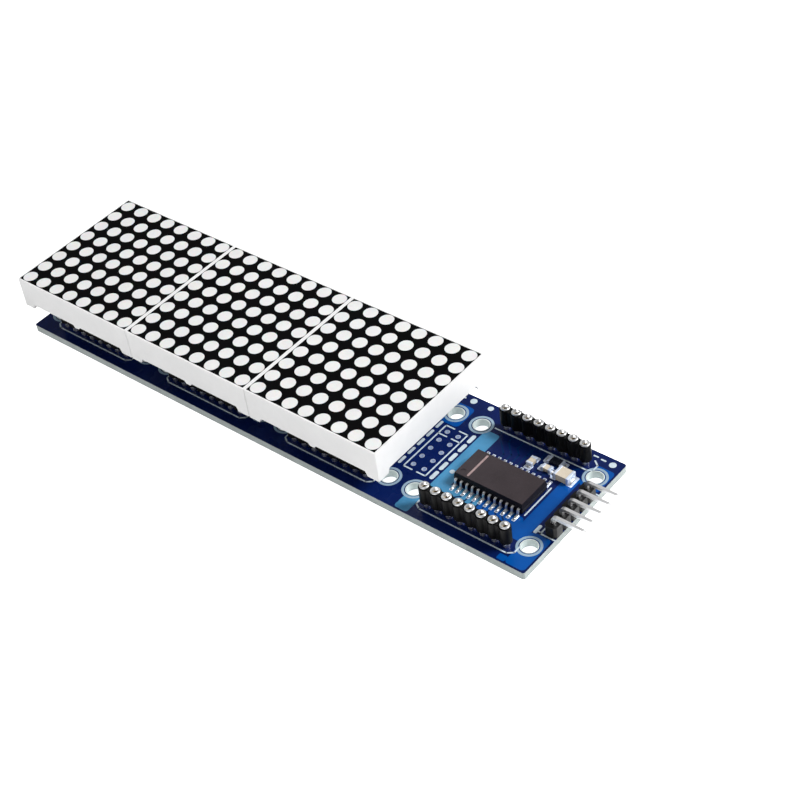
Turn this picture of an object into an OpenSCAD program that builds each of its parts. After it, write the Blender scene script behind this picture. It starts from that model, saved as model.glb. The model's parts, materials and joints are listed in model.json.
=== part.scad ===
// LED dot matrix module: a driver board with plug-in 8 x 8 displays.
// Millimetres. Origin: centre of the board's mounting holes, on the board's underside.
// +X runs along the row towards the input header, +Z is the side that lights up.

/* [Module] */
// Display positions along the board
sections = 4; // [1:1:4]
// Displays plugged in, counted from the end away from the input header
displays_fitted = 3; // [1:1:4]
// Distance from one display position to the next
section_pitch = 32; // [32:0.1:33]

/* [Display] */
// Side of the square display shell
display_side = 31.9; // [31.2:0.1:32]
// Height of the shell's side walls
wall_h = 5.8; // [5.2:0.1:6.6]
// Thickness of the side walls
wall_t = 1; // [0.8:0.1:1.2]
// How far the corner feet reach below the walls
foot_h = 1.05; // [0.6:0.05:1.2]
// Length of each leg of a corner foot, at the wall
foot_l = 3.2; // [2:0.1:4]
// Dots along each side
dots = 8; // [4:1:8]
// Distance between dots
dot_pitch = 4; // [3.6:0.1:4]
// Diameter of a dot on the face
dot_d = 3; // [2:0.1:3.4]
// White rim left round the black face
rim_w = 0.35; // [0.2:0.05:0.6]
// Length of the display pins below the display
display_pin_l = 4.4; // [4.2:0.1:5.2]
// Diameter of the display pins
display_pin_d = 0.5; // [0.4:0.05:0.6]

/* [Driver board] */
// Width of the board
board_w = 31.6; // [31:0.1:32]
// Thickness of the board
board_t = 1.6; // [1:0.1:2]
// How far each end of the board stays inside the row of displays
board_inset = 0.7; // [0:0.1:0.8]
// Diameter of the mounting holes
mount_hole_d = 3; // [2.6:0.1:3.2]
// Mounting hole centre to the end of its section
mount_hole_inset = 3; // [2.9:0.1:3.2]
// Distance between the two rows of mounting holes
mount_hole_span = 20.1; // [19.8:0.1:20.4]

/* [Sockets] */
// Distance between the two socket strips of one display
row_span = 24.13; // [24:0.01:24.2]
// Height of the sockets above the board
socket_h = 5.3; // [4.8:0.1:5.8]
// Gap between the board and the plastic of a socket strip
socket_lift = 1.3; // [1:0.05:1.6]
// Diameter of the plastic round each contact
tower_d = 2.3; // [2.1:0.05:2.45]
// Depth of the hole in a contact
contact_depth = 3.4; // [3:0.1:3.6]

/* [Input header] */
// Pins of the header
header_pins_n = 5; // [3:1:5]
// Height of the header's plastic
header_h = 2.54; // [2.4:0.02:2.8]
// Height of the bent pins above the board, at their middle
header_pin_z = 4; // [3.8:0.1:4.4]
// How far the pins reach past the end of the board
header_reach = 5.9; // [4:0.1:8]

/* [Hidden] */
pitch = 2.54;
pins_a_row = 8;
fitted = min(displays_fitted, sections);

// Board
board_l = sections * section_pitch - 2 * board_inset;
board_section = board_l / sections;
board_corner_r = 0.5;
link_hole_d = 0.7;
tail_hole_d = 0.8;
header_hole_d = 1;
tail_drop = 1.4;
solder_waist = 0.62;
solder_shoulder = 0.25;
tail_solder_r = 0.85;
tail_solder_tip_r = 0.38;
header_solder_r = 0.95;
header_solder_tip_r = 0.5;

// Header
header_wire = 0.64;
header_x = board_l / 2 - pitch / 2;
header_bend_r = 0.8;
header_chamfer = 0.45;
header_tip_l = 0.8;

// Turned contacts, heights above the board
head_r = 0.93;
head_h = 0.65;
head_proud = 0.3;
barrel_r = 0.66;
sleeve_r = 0.78;
tail_r = 0.25;
funnel_r = 0.62;
bore_r = 0.4;
grip_r = display_pin_d / 2;
clip_t = 0.07;
clip_drop = 0.55;
clip_collar_h = 0.5;
clip_h = 1.8;
clip_slot = 0.16;
contact_floor = socket_h - contact_depth;
socket_web_w = 1.5;
socket_edge = 0.15;

// Display levels
pin_foot_z = board_t + contact_floor;
back_z = pin_foot_z + display_pin_l;
face_z = back_z + wall_h;
film_t = 0.1;
potting_t = 0.5;
carrier_t = 1;
under_cups_t = 0.3;
carrier_z = back_z + potting_t;
cups_z = carrier_z + carrier_t + under_cups_t;
carrier_gap = 0.3;
inner_side = display_side - 2 * wall_t;
carrier_side = inner_side - 2 * carrier_gap;
cup_floor_d = 0.72 * dot_d;
die_side = 0.36;
die_t = 0.15;
foot_tip_l = foot_l - 0.5;
tab_l = 2.2;
tab_tip_l = 1;
tab_h = 0.6;
shell_corner_r = 0.25;

// Driver chip, a 24-lead wide small-outline body
chip_leads = 12;
chip_pitch = 1.27;
chip_l = 15.4;
chip_w = 7.5;
chip_lift = 0.15;
chip_mid_z = 1.3;
chip_top_z = 2.45;
chip_draft = 0.2;
chip_span = 10.3;
lead_w = 0.44;
lead_t = 0.25;
lead_root = 0.5;
lead_shoulder = 0.2;
lead_bend_r = 0.25;
lead_leg_angle = 80;
lead_steps = 3;
dimple_r = 0.5;
dimple_depth = 0.1;
dimple_inset = 1.3;
chip_x = -0.7;
chip_y = -0.9;

// Surface-mounted parts: [x, y, length, width, height, turn] from the section's centre
capacitors = [
    [0.6, 6.9, 2, 1.25, 0.9, 90],
    [4, 6.9, 2, 1.25, 0.9, 0],
    [7.8, 6.9, 3.2, 2.5, 1.5, 0]
];
resistor = [4.3, 9.3, 3.2, 1.6, 0.55, 0];
end_cap_l = 0.5;
end_cap_t = 0.05;

display_parts = ["shell", "face", "resin", "carrier", "leds", "pins"];

function section_x(n) = section_pitch * (n - (sections + 1) / 2);
function hole_section_x(n) = board_section * (n - (sections + 1) / 2);
function pin_x(i) = pitch * (i - (pins_a_row - 1) / 2);
function header_y(i) = pitch * (i - (header_pins_n - 1) / 2);
function dot_at(i) = dot_pitch * (i - (dots - 1) / 2);

module at_section(n) {
    translate([section_x(n), 0, 0]) children();
}

module at_row_pins() {
    for (i = [0:pins_a_row - 1]) translate([pin_x(i), 0, 0]) children();
}

module at_display_pins() {
    for (side = [-1, 1]) translate([0, side * row_span / 2, 0]) at_row_pins() children();
}

module at_dots() {
    for (i = [0:dots - 1]) for (j = [0:dots - 1]) translate([dot_at(i), dot_at(j), 0]) children();
}

module at_header_pins() {
    for (i = [0:header_pins_n - 1]) translate([header_x, header_y(i), 0]) children();
}

// A block centred in X and Y that stands on z
module block(l, w, z, h) {
    translate([-l / 2, -w / 2, z]) cube([l, w, h]);
}

// Flat rectangle with round corners
module rounded_rectangle(l, w, r) {
    square([l - 2 * r, w], center = true);
    square([l, w - 2 * r], center = true);
    for (x = [-1, 1]) for (y = [-1, 1]) translate([x * (l / 2 - r), y * (w / 2 - r)]) circle(r = r, $fn = 32);
}

// ---------- displays ----------

// Lower edge of one wall: a tapering foot at each end, and on some walls a small tab in the middle
module wall_feet(tab) {
    half = display_side / 2;
    lap = 0.1;
    translate([0, wall_t - half, back_z]) rotate([90, 0, 0]) linear_extrude(wall_t) {
        for (flip = [0, 1]) mirror([flip, 0])
            polygon([[half - foot_l, lap], [half - foot_tip_l, -foot_h], [half, -foot_h], [half, lap]]);
        if (tab)
            polygon([[-tab_l / 2, lap], [-tab_tip_l / 2, -tab_h], [tab_tip_l / 2, -tab_h], [tab_l / 2, lap]]);
    }
}

// White moulded reflector: walls on feet, and a thick front with one tapering cup a dot
module display_shell(n) {
    recess_side = display_side - 2 * rim_w;
    color("white") at_section(n) {
        difference() {
            translate([0, 0, back_z]) linear_extrude(wall_h)
                rounded_rectangle(display_side, display_side, shell_corner_r);
            block(inner_side, inner_side, back_z - 1, cups_z - back_z + 1);
            block(recess_side, recess_side, face_z - film_t, 1);
            at_dots() translate([0, 0, cups_z])
                cylinder(h = face_z - film_t - cups_z, d1 = cup_floor_d, d2 = dot_d, $fn = 32);
        }
        intersection() {
            for (turn = [0:90:270]) rotate(turn) wall_feet(tab = turn % 180 == 0);
            translate([0, 0, back_z - foot_h]) linear_extrude(foot_h + 1)
                rounded_rectangle(display_side, display_side, shell_corner_r);
        }
    }
}

// Black face film with an opening at each dot
module display_face(n) {
    color([0.04, 0.04, 0.045]) at_section(n) difference() {
        block(display_side - 2 * rim_w, display_side - 2 * rim_w, face_z - film_t, film_t);
        at_dots() translate([0, 0, face_z - 1]) cylinder(h = 2, d = dot_d, $fn = 32);
    }
}

// White diffusing resin: it fills the cups, runs round the carrier and closes the back
module display_resin(n) {
    color([0.95, 0.95, 0.93]) at_section(n) difference() {
        union() {
            block(inner_side, inner_side, back_z, cups_z - back_z);
            at_dots() {
                translate([0, 0, cups_z])
                    cylinder(h = face_z - film_t - cups_z, d1 = cup_floor_d, d2 = dot_d, $fn = 32);
                translate([0, 0, face_z - film_t]) cylinder(h = film_t, d = dot_d, $fn = 32);
            }
        }
        block(carrier_side, carrier_side, carrier_z, carrier_t);
        at_dots() block(die_side, die_side, carrier_z + carrier_t, die_t);
        at_display_pins() translate([0, 0, back_z - 1])
            cylinder(h = carrier_z - back_z + 1.1, d = display_pin_d, $fn = 24);
    }
}

// Small circuit board that carries the light-emitting chips and the pins
module display_carrier(n) {
    color("darkkhaki") at_section(n) difference() {
        block(carrier_side, carrier_side, carrier_z, carrier_t);
        at_display_pins() translate([0, 0, carrier_z - 1])
            cylinder(h = carrier_t + 2, d = display_pin_d, $fn = 24);
    }
}

module display_leds(n) {
    color("gold") at_section(n) at_dots() block(die_side, die_side, carrier_z + carrier_t, die_t);
}

module display_pins(n) {
    color("silver") at_section(n) at_display_pins() translate([0, 0, pin_foot_z])
        cylinder(h = carrier_z + carrier_t - pin_foot_z, d = display_pin_d, $fn = 24);
}

// ---------- driver board ----------

module through_hole(d) {
    translate([0, 0, -1]) cylinder(h = board_t + 2, d = d, $fn = 32);
}

// Two holes at each end of a section, between the socket strips
module mounting_holes(n) {
    reach = board_section / 2 - mount_hole_inset;
    for (x = [-1, 1]) for (y = [-1, 1])
        translate([hole_section_x(n) + x * reach, y * mount_hole_span / 2, 0]) through_hole(mount_hole_d);
}

// A row of five small plated holes that carries power and data from one section to the next
module link_holes(x) {
    for (i = [0:header_pins_n - 1]) translate([x, header_y(i), 0]) through_hole(link_hole_d);
}

module driver_board() {
    color([0.03, 0.25, 0.6]) difference() {
        linear_extrude(board_t) rounded_rectangle(board_l, board_w, board_corner_r);
        for (n = [1:sections]) {
            mounting_holes(n);
            at_section(n) at_display_pins() through_hole(tail_hole_d);
            link_holes(hole_section_x(n) - board_section / 2 + pitch / 2);
            if (n < sections) link_holes(hole_section_x(n) + board_section / 2 - pitch / 2);
        }
        at_header_pins() through_hole(header_hole_d);
    }
}

// ---------- sockets ----------

// Strip of eight round towers joined by a narrower web, each tower counterbored for its contact's head
module socket_strip() {
    body_top = socket_h - head_proud;
    edge_z = body_top - socket_edge;
    r = tower_d / 2;
    difference() {
        union() {
            at_row_pins() rotate_extrude($fn = 40) polygon([
                [0, socket_lift], [r, socket_lift], [r, edge_z],
                [r - socket_edge, body_top], [0, body_top]
            ]);
            block((pins_a_row - 1) * pitch, socket_web_w, socket_lift, edge_z - socket_lift);
        }
        at_row_pins() {
            cylinder(h = socket_h, r = sleeve_r, $fn = 32);
            translate([0, 0, socket_h - head_h]) cylinder(h = head_h + 1, r = head_r, $fn = 32);
        }
    }
}

// Turned contact: solder tail, barrel, sleeve and head, with a funnel mouth and a blind hole
module turned_contact() {
    head_z = socket_h - head_h;
    rotate_extrude($fn = 32) polygon([
        [0, -board_t - tail_drop], [tail_r, -board_t - tail_drop], [tail_r, 0],
        [barrel_r, 0], [barrel_r, socket_lift],
        [sleeve_r, socket_lift], [sleeve_r, head_z],
        [head_r, head_z], [head_r, socket_h - 0.1], [head_r - 0.1, socket_h],
        [funnel_r, socket_h], [bore_r, socket_h - clip_drop], [bore_r, contact_floor], [0, contact_floor]
    ]);
}

// Spring clip in the contact's hole: a collar and four fingers that close on the display's pin
module contact_clip() {
    top = socket_h - clip_drop;
    waist = top - clip_collar_h;
    difference() {
        rotate_extrude($fn = 32) polygon([
            [bore_r - clip_t, top], [bore_r, top], [bore_r, waist],
            [grip_r + clip_t, top - clip_h], [grip_r, top - clip_h], [bore_r - clip_t, waist]
        ]);
        for (turn = [0, 90]) rotate(turn) block(clip_slot, 1, top - clip_h - 1, clip_h - clip_collar_h + 1);
    }
}

module at_strip(n, side) {
    translate([section_x(n), side * row_span / 2, board_t]) children();
}

module front_socket(n) {
    color([0.07, 0.07, 0.075]) at_strip(n, -1) socket_strip();
}

module back_socket(n) {
    color([0.07, 0.07, 0.075]) at_strip(n, 1) socket_strip();
}

module front_contacts(n) {
    color("silver") at_strip(n, -1) at_row_pins() turned_contact();
}

module back_contacts(n) {
    color("silver") at_strip(n, 1) at_row_pins() turned_contact();
}

module contact_clips(n) {
    color("goldenrod") for (side = [-1, 1]) at_strip(n, side) at_row_pins() contact_clip();
}

// ---------- chips and small parts ----------

// Outline of the moulded body seen from one side, widest at its parting line
module drafted_outline(w) {
    polygon([
        [-w / 2 + chip_draft, chip_lift], [w / 2 - chip_draft, chip_lift], [w / 2, chip_mid_z],
        [w / 2 - chip_draft, chip_top_z], [-w / 2 + chip_draft, chip_top_z], [-w / 2, chip_mid_z]
    ]);
}

// Points on an arc about a centre
function arc(centre, r, from, to) =
    [for (i = [0:lead_steps]) let (a = from + (to - from) * i / lead_steps) centre + r * [cos(a), sin(a)]];

// One gull-wing lead on the +Y side: root in the body, shoulder, leg between two bends, and foot
module gull_lead() {
    t = lead_t / 2;
    r = lead_bend_r;
    a = lead_leg_angle;
    leg = (chip_mid_z - t - 2 * r * (1 - cos(a))) / sin(a);
    upper = [chip_w / 2 + lead_shoulder, chip_mid_z - r];
    lower = upper + 2 * r * [sin(a), cos(a)] + leg * [cos(a), -sin(a)];
    root = chip_w / 2 - lead_root;
    toe = chip_span / 2;
    translate([-lead_w / 2, 0, 0]) rotate([90, 0, 90]) linear_extrude(lead_w) polygon(concat(
        [[root, chip_mid_z + t]], arc(upper, r + t, 90, 90 - a), arc(lower, r - t, 270 - a, 270),
        [[toe, lead_t], [toe, 0]], arc(lower, r + t, 270, 270 - a), arc(upper, r - t, 90 - a, 90),
        [[root, chip_mid_z - t]]
    ));
}

module at_leads() {
    for (side = [0, 180]) rotate(side)
        for (i = [0:chip_leads - 1])
            translate([chip_pitch * (i - (chip_leads - 1) / 2), 0, 0]) children();
}

module at_chip(n) {
    translate([section_x(n) + chip_x, chip_y, board_t]) children();
}

module driver_chip(n) {
    color([0.2, 0.17, 0.18]) at_chip(n) difference() {
        intersection() {
            translate([-chip_l / 2, 0, 0]) rotate([90, 0, 90]) linear_extrude(chip_l) drafted_outline(chip_w);
            translate([0, chip_w / 2, 0]) rotate([90, 0, 0]) linear_extrude(chip_w) drafted_outline(chip_l);
        }
        at_leads() translate([-lead_w / 2, chip_w / 2 - lead_root, chip_mid_z - lead_t / 2])
            cube([lead_w, lead_root + 1, lead_t]);
        translate([dimple_inset - chip_l / 2, dimple_inset - chip_w / 2, chip_top_z - dimple_depth])
            cylinder(h = 1, r = dimple_r, $fn = 32);
    }
}

module driver_leads(n) {
    color("silver") at_chip(n) at_leads() gull_lead();
}

// A small two-ended part: its body and the slightly thicker metal ends
module chip_part(p) {
    translate([p[0], p[1], board_t]) rotate(p[5]) {
        block(p[2] - 2 * end_cap_t, p[3] - 2 * end_cap_t, end_cap_t, p[4] - 2 * end_cap_t);
        for (x = [-1, 1]) translate([x * (p[2] - end_cap_l) / 2, 0, 0]) block(end_cap_l, p[3], 0, p[4]);
    }
}

module capacitors_group(n) {
    color("tan") at_section(n) for (p = capacitors) chip_part(p);
}

module resistor_part(n) {
    color([0.08, 0.08, 0.09]) at_section(n) chip_part(resistor);
}

// ---------- input header ----------

// Plastic strip of chamfered squares, one a pin
module header_housing() {
    c = header_chamfer;
    h = pitch / 2;
    color([0.06, 0.06, 0.065]) difference() {
        at_header_pins() translate([0, 0, board_t]) linear_extrude(header_h) polygon([
            [-h + c, -h], [h - c, -h], [h, -h + c], [h, h - c],
            [h - c, h], [-h + c, h], [-h, h - c], [-h, -h + c]
        ]);
        at_header_pins() block(header_wire, header_wire, 0, board_t + header_h + 1);
    }
}

// Square wire: down through the board, round the bend and out past the board's end, with a tapered tip
module bent_pin() {
    w = header_wire;
    r = header_bend_r;
    mid_z = board_t + header_pin_z;
    run = board_l / 2 + header_reach - header_x - r;
    cut = run - header_tip_l;
    tip = [[0, -w / 2], [cut, -w / 2], [run, -w / 6], [run, w / 6], [cut, w / 2], [0, w / 2]];
    block(w, w, -tail_drop, mid_z - r + tail_drop);
    translate([r, 0, mid_z - r]) rotate([90, 0, 0]) rotate([0, 0, 90])
        rotate_extrude(angle = 90, $fn = 48) translate([r - w / 2, -w / 2]) square(w);
    translate([r, 0, mid_z]) intersection() {
        translate([0, 0, -w / 2]) linear_extrude(w) polygon(tip);
        translate([0, w / 2, 0]) rotate([90, 0, 0]) linear_extrude(w) polygon(tip);
    }
}

module header_pins() {
    color("silver") at_header_pins() bent_pin();
}

// ---------- solder ----------

// Fillet of solder round a tail, from the drilled hole down to the tail's end
module solder_fillet(hole_d, foot_r, tip_r) {
    rotate_extrude($fn = 32) polygon([
        [0, -tail_drop], [tip_r, -tail_drop], [tip_r + 0.1, -solder_waist * tail_drop],
        [(tip_r + foot_r) / 2, -solder_shoulder * tail_drop], [foot_r, 0],
        [hole_d / 2, 0], [hole_d / 2, board_t], [0, board_t]
    ]);
}

module solder_joints() {
    color("gainsboro") {
        for (n = [1:sections]) at_section(n) at_display_pins() difference() {
            solder_fillet(tail_hole_d, tail_solder_r, tail_solder_tip_r);
            translate([0, 0, -tail_drop - 1]) cylinder(h = board_t + tail_drop + 2, r = tail_r, $fn = 24);
        }
        at_header_pins() difference() {
            solder_fillet(header_hole_d, header_solder_r, header_solder_tip_r);
            block(header_wire, header_wire, -tail_drop - 1, board_t + tail_drop + 2);
        }
    }
}

driver_board();
solder_joints();
header_housing();
header_pins();
for (n = [1:sections]) {
    front_socket(n);
    front_contacts(n);
    back_socket(n);
    back_contacts(n);
    contact_clips(n);
    driver_chip(n);
    driver_leads(n);
    capacitors_group(n);
    resistor_part(n);
}
for (n = [1:fitted]) {
    display_shell(n);
    display_face(n);
    display_resin(n);
    display_carrier(n);
    display_leds(n);
    display_pins(n);
}
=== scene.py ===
import json
import math

import bpy
from bpy.props import FloatProperty, FloatVectorProperty, IntProperty, PointerProperty
from bpy.types import Operator, Panel, PropertyGroup
from mathutils import Matrix, Vector


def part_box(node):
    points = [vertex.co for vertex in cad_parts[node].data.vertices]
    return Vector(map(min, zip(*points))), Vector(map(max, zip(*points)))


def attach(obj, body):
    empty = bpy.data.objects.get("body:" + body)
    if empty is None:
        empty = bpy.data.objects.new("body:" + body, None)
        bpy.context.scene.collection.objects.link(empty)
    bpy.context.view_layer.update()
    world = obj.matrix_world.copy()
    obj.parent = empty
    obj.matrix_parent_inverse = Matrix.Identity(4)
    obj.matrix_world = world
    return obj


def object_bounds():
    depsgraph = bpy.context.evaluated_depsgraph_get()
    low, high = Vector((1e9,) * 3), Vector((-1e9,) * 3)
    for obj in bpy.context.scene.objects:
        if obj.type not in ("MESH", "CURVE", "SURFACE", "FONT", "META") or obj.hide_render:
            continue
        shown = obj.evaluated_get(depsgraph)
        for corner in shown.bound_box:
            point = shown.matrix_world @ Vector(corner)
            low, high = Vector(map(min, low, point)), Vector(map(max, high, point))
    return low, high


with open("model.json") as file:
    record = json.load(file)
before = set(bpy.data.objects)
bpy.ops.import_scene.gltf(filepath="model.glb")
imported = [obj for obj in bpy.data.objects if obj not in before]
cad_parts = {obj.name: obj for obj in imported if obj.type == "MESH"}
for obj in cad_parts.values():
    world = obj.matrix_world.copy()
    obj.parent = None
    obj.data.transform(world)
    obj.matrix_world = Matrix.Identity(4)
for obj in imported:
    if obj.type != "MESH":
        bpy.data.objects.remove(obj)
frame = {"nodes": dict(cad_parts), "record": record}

bl_info = {
    "name": "LED dot matrix module",
    "version": (1, 0, 0),
    "blender": (4, 5, 0),
    "location": "3D View > Sidebar > Dot matrix",
    "description": "Board print, pads, solder and finishes for a row of plug-in dot displays",
    "category": "Object",
}

MM = 0.001
CAD_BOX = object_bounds()
BODY = "root"

# Places that come from the frame
NODES = frame["nodes"]
SECTIONS = sum(name.startswith("driver_chip_") for name in NODES)
BOARD_LOW, BOARD_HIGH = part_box("driver_board")
BOARD_TOP = BOARD_HIGH.z
BOARD_SECTION = (BOARD_HIGH.x - BOARD_LOW.x) / SECTIONS
FLOOR_Z = CAD_BOX[0].z
PITCH = 2.54 * MM
ROW_PINS = 8
LINK_PINS = 5


def middle(node):
    """Centre of a CAD node's box."""
    low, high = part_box(node)
    return (low + high) / 2


def section_x(n):
    """Middle of display position n along the board, counted from 1."""
    return middle(f"front_contacts_{n}").x


def section_edge_x(n):
    """Line on the board where section n ends and the next begins."""
    return BOARD_LOW.x + n * BOARD_SECTION


def row(count, pitch):
    """Places of a row of equal steps about its middle."""
    return [(i - (count - 1) / 2) * pitch for i in range(count)]


def screw_holes(n):
    """Middles of section n's four screw holes."""
    columns = (section_edge_x(n - 1) + HOLE_INSET, section_edge_x(n) - HOLE_INSET)
    return [(x, y) for x in columns for y in (-HOLE_Y, HOLE_Y)]


SOCKET_Y = middle("back_contacts_1").y
HOLE_INSET = 3.0 * MM
HOLE_Y = 10.05 * MM
CHIP_LEADS = 12
LEAD_PITCH = 1.27 * MM
CHIP_LOW, CHIP_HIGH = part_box("driver_chip_1")
CHIP_X = (CHIP_LOW.x + CHIP_HIGH.x) / 2 - section_x(1)
CHIP_Y = (CHIP_LOW.y + CHIP_HIGH.y) / 2
LEAD_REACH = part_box("driver_leads_1")[1].y - CHIP_Y
HEADER_LOW, HEADER_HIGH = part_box("header_housing")
HEADER_PINS = 5
END_CAP = 0.5 * MM
TRACK_LIFT = 1.3  # a track stands this many times as high as a pour

# Outer and inner radii of rings and tubes
RIM = (1.72 * MM, 1.52 * MM)
LINING = (1.495 * MM, 1.46 * MM)
LINK_WALL = (0.345 * MM, 0.3 * MM)
TAIL_PAD = (1.0 * MM, 0.6 * MM)
HEADER_PAD = (1.05 * MM, 0.7 * MM)
POUR_GAP = 1.85 * MM  # radius that the pours and their painted light keep clear round a screw hole

# Small two-ended parts, in millimetres: place from the section's middle, length, width and height,
# and whether they lie across the board
SMALL_PARTS = (
    (0.6, 6.9, 2.0, 1.25, 0.9, True),
    (4.0, 6.9, 2.0, 1.25, 0.9, False),
    (7.8, 6.9, 3.2, 2.5, 1.5, False),
    (4.3, 9.3, 3.2, 1.6, 0.55, False),
)


# ---------- what a user would change ----------


def size_setting(label, description, default):
    """A size that the user can change, with its default in millimetres."""
    return FloatProperty(
        name=label, description=description, default=default * MM, unit="LENGTH", precision=6
    )


def tint(label, description, default):
    """A colour that the user can change, as linear RGB."""
    return FloatVectorProperty(
        name=label, description=description, subtype="COLOR", size=3, min=0, max=1, default=default
    )


class MatrixPrintSizes(PropertyGroup):
    """Sizes of the white print, the copper and the tinned pads on the board."""

    line: size_setting("Line", "Width of a printed line", 0.3)
    ink: size_setting("Ink", "Thickness of the printed ink", 0.025)
    ring: size_setting("Ring", "Outer diameter of the ring round a screw hole", 4.85)
    ring_line: size_setting("Ring line", "Width of the ring's line", 0.5)
    pad: size_setting("Pad", "Diameter of the pad round a link hole", 1.02)
    tin: size_setting("Tin", "Thickness of a tinned pad", 0.035)
    copper: size_setting("Copper", "How far copper lifts the lacquer over it", 0.018)
    track: size_setting("Track", "Width of a signal track", 0.3)
    round_steps: IntProperty(
        name="Round steps", description="Sides of a printed ring or a round pad", default=40, min=12, max=96
    )


class MatrixColours(PropertyGroup):
    """Colours of the module's surfaces."""

    mask: tint("Solder mask", "Blue lacquer over bare laminate", (0.0019, 0.0085, 0.064))
    # On top of the board this blue also paints the lit zones of the deep pours.
    mask_copper: tint("Mask on copper", "Blue lacquer where copper lies under it", (0.001, 0.06, 0.27))
    # Painted light: this lightest blue paints the lit lacquer left of the chip, where the white walls
    # reflect in it.
    mask_pale: tint("Mask on a wide pour", "Lightest blue, over the widest copper", (0.05, 0.2, 0.36))
    laminate: tint("Laminate", "Cut edge of the glass-fibre board", (0.42, 0.47, 0.46))
    ink: tint("Print", "White printing ink", (0.6, 0.7, 0.76))
    casing: tint("Casing", "White moulded casing of a display", (0.85, 0.85, 0.85))
    resin: tint("Resin", "Milky resin in the dots", (0.79, 0.79, 0.785))
    face: tint("Face", "Black ink on the display's face", (0.0018, 0.0018, 0.002))
    plastic: tint("Black plastic", "Sockets and header", (0.0036, 0.0036, 0.004))
    chip: tint("Chip", "Moulded chip body", (0.028, 0.021, 0.024))
    tin: tint("Tin", "Tinned contacts, leads and pads", (0.88, 0.885, 0.89))


def sizes():
    return bpy.context.scene.matrix_sizes


def colours():
    return bpy.context.scene.matrix_colours


# ---------- shader groups ----------


def fill(node, **values):
    """Gives a node's inputs their values; an underscore in a name stands for a space."""
    for label, value in values.items():
        node.inputs[label.replace("_", " ")].default_value = value
    return node


def math_node(tree, operation, clamp=False):
    node = tree.nodes.new("ShaderNodeMath")
    node.operation = operation
    node.use_clamp = clamp
    return node


def colour_mix(tree):
    node = tree.nodes.new("ShaderNodeMix")
    node.data_type = "RGBA"
    return node


def wire(tree, start, output, end, target):
    """Links one node's output to another's input."""
    tree.links.new(start.outputs[output], end.inputs[target])


def new_group(name, inputs, outputs):
    """An empty shader group with these sockets, and its input and output nodes."""
    group = bpy.data.node_groups.new(name, "ShaderNodeTree")
    for label, kind, value in inputs:
        socket = group.interface.new_socket(name=label, in_out="INPUT", socket_type=kind)
        if value is not None:
            socket.default_value = value
    for label, kind in outputs:
        group.interface.new_socket(name=label, in_out="OUTPUT", socket_type=kind)
    return group, group.nodes.new("NodeGroupInput"), group.nodes.new("NodeGroupOutput")


def mottle_group():
    """Slow change between two colours, with a finer one on top."""
    if "Mottle" in bpy.data.node_groups:
        return bpy.data.node_groups["Mottle"]
    group, start, end = new_group(
        "Mottle",
        [
            ("Vector", "NodeSocketVector", None),
            ("Scale", "NodeSocketFloat", 100.0),
            ("Detail Scale", "NodeSocketFloat", 1200.0),
            ("Detail", "NodeSocketFloat", 0.3),
            ("Base", "NodeSocketColor", (0.5, 0.5, 0.5, 1)),
            ("Shade", "NodeSocketColor", (0.4, 0.4, 0.4, 1)),
        ],
        [("Color", "NodeSocketColor")],
    )
    both = group.nodes.new("ShaderNodeMix")
    for scale, detail, slot in (("Scale", 3, "A"), ("Detail Scale", 4, "B")):
        noise = fill(group.nodes.new("ShaderNodeTexNoise"), Detail=detail)
        wire(group, start, "Vector", noise, "Vector")
        wire(group, start, scale, noise, "Scale")
        wire(group, noise, "Fac", both, slot)
    spread = fill(group.nodes.new("ShaderNodeMapRange"), From_Min=0.36, From_Max=0.64)
    blend = colour_mix(group)
    wire(group, start, "Detail", both, "Factor")
    wire(group, both, "Result", spread, "Value")
    wire(group, spread, "Result", blend, "Factor")
    wire(group, start, "Base", blend, "A")
    wire(group, start, "Shade", blend, "B")
    wire(group, blend, "Result", end, "Color")
    return group


def grain_group():
    """Fine surface grain: a height for Bump, and a roughness that changes more slowly."""
    if "Grain" in bpy.data.node_groups:
        return bpy.data.node_groups["Grain"]
    group, start, end = new_group(
        "Grain",
        [
            ("Vector", "NodeSocketVector", None),
            ("Scale", "NodeSocketFloat", 3000.0),
            ("Roughness Low", "NodeSocketFloat", 0.3),
            ("Roughness High", "NodeSocketFloat", 0.45),
        ],
        [("Height", "NodeSocketFloat"), ("Roughness", "NodeSocketFloat")],
    )
    noise = fill(group.nodes.new("ShaderNodeTexNoise"), Detail=5, Roughness=0.6)
    slow = fill(group.nodes.new("ShaderNodeTexNoise"), Detail=2)
    slow_share = 0.12
    share = math_node(group, "MULTIPLY")
    share.inputs[1].default_value = slow_share
    span = fill(group.nodes.new("ShaderNodeMapRange"), From_Min=0.3, From_Max=0.7)
    wire(group, start, "Vector", noise, "Vector")
    wire(group, start, "Scale", noise, "Scale")
    wire(group, start, "Scale", share, 0)
    wire(group, start, "Vector", slow, "Vector")
    wire(group, share, "Value", slow, "Scale")
    wire(group, slow, "Fac", span, "Value")
    wire(group, start, "Roughness Low", span, "To Min")
    wire(group, start, "Roughness High", span, "To Max")
    wire(group, noise, "Fac", end, "Height")
    wire(group, span, "Result", end, "Roughness")
    return group


def weave_group():
    """Over-and-under height of the glass cloth that shows faintly through the lacquer."""
    if "Glass weave" in bpy.data.node_groups:
        return bpy.data.node_groups["Glass weave"]
    group, start, end = new_group(
        "Glass weave",
        [("Vector", "NodeSocketVector", None), ("Threads", "NodeSocketFloat", 1500.0)],
        [("Height", "NodeSocketFloat")],
    )
    total = math_node(group, "MULTIPLY")
    split = group.nodes.new("ShaderNodeSeparateXYZ")
    wire(group, start, "Vector", split, "Vector")
    for slot, axis in enumerate(("X", "Y")):
        turn, wave = math_node(group, "MULTIPLY"), math_node(group, "SINE")
        wire(group, split, axis, turn, 0)
        wire(group, start, "Threads", turn, 1)
        wire(group, turn, "Value", wave, 0)
        wire(group, wave, "Value", total, slot)
    wire(group, total, "Value", end, "Height")
    return group


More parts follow.
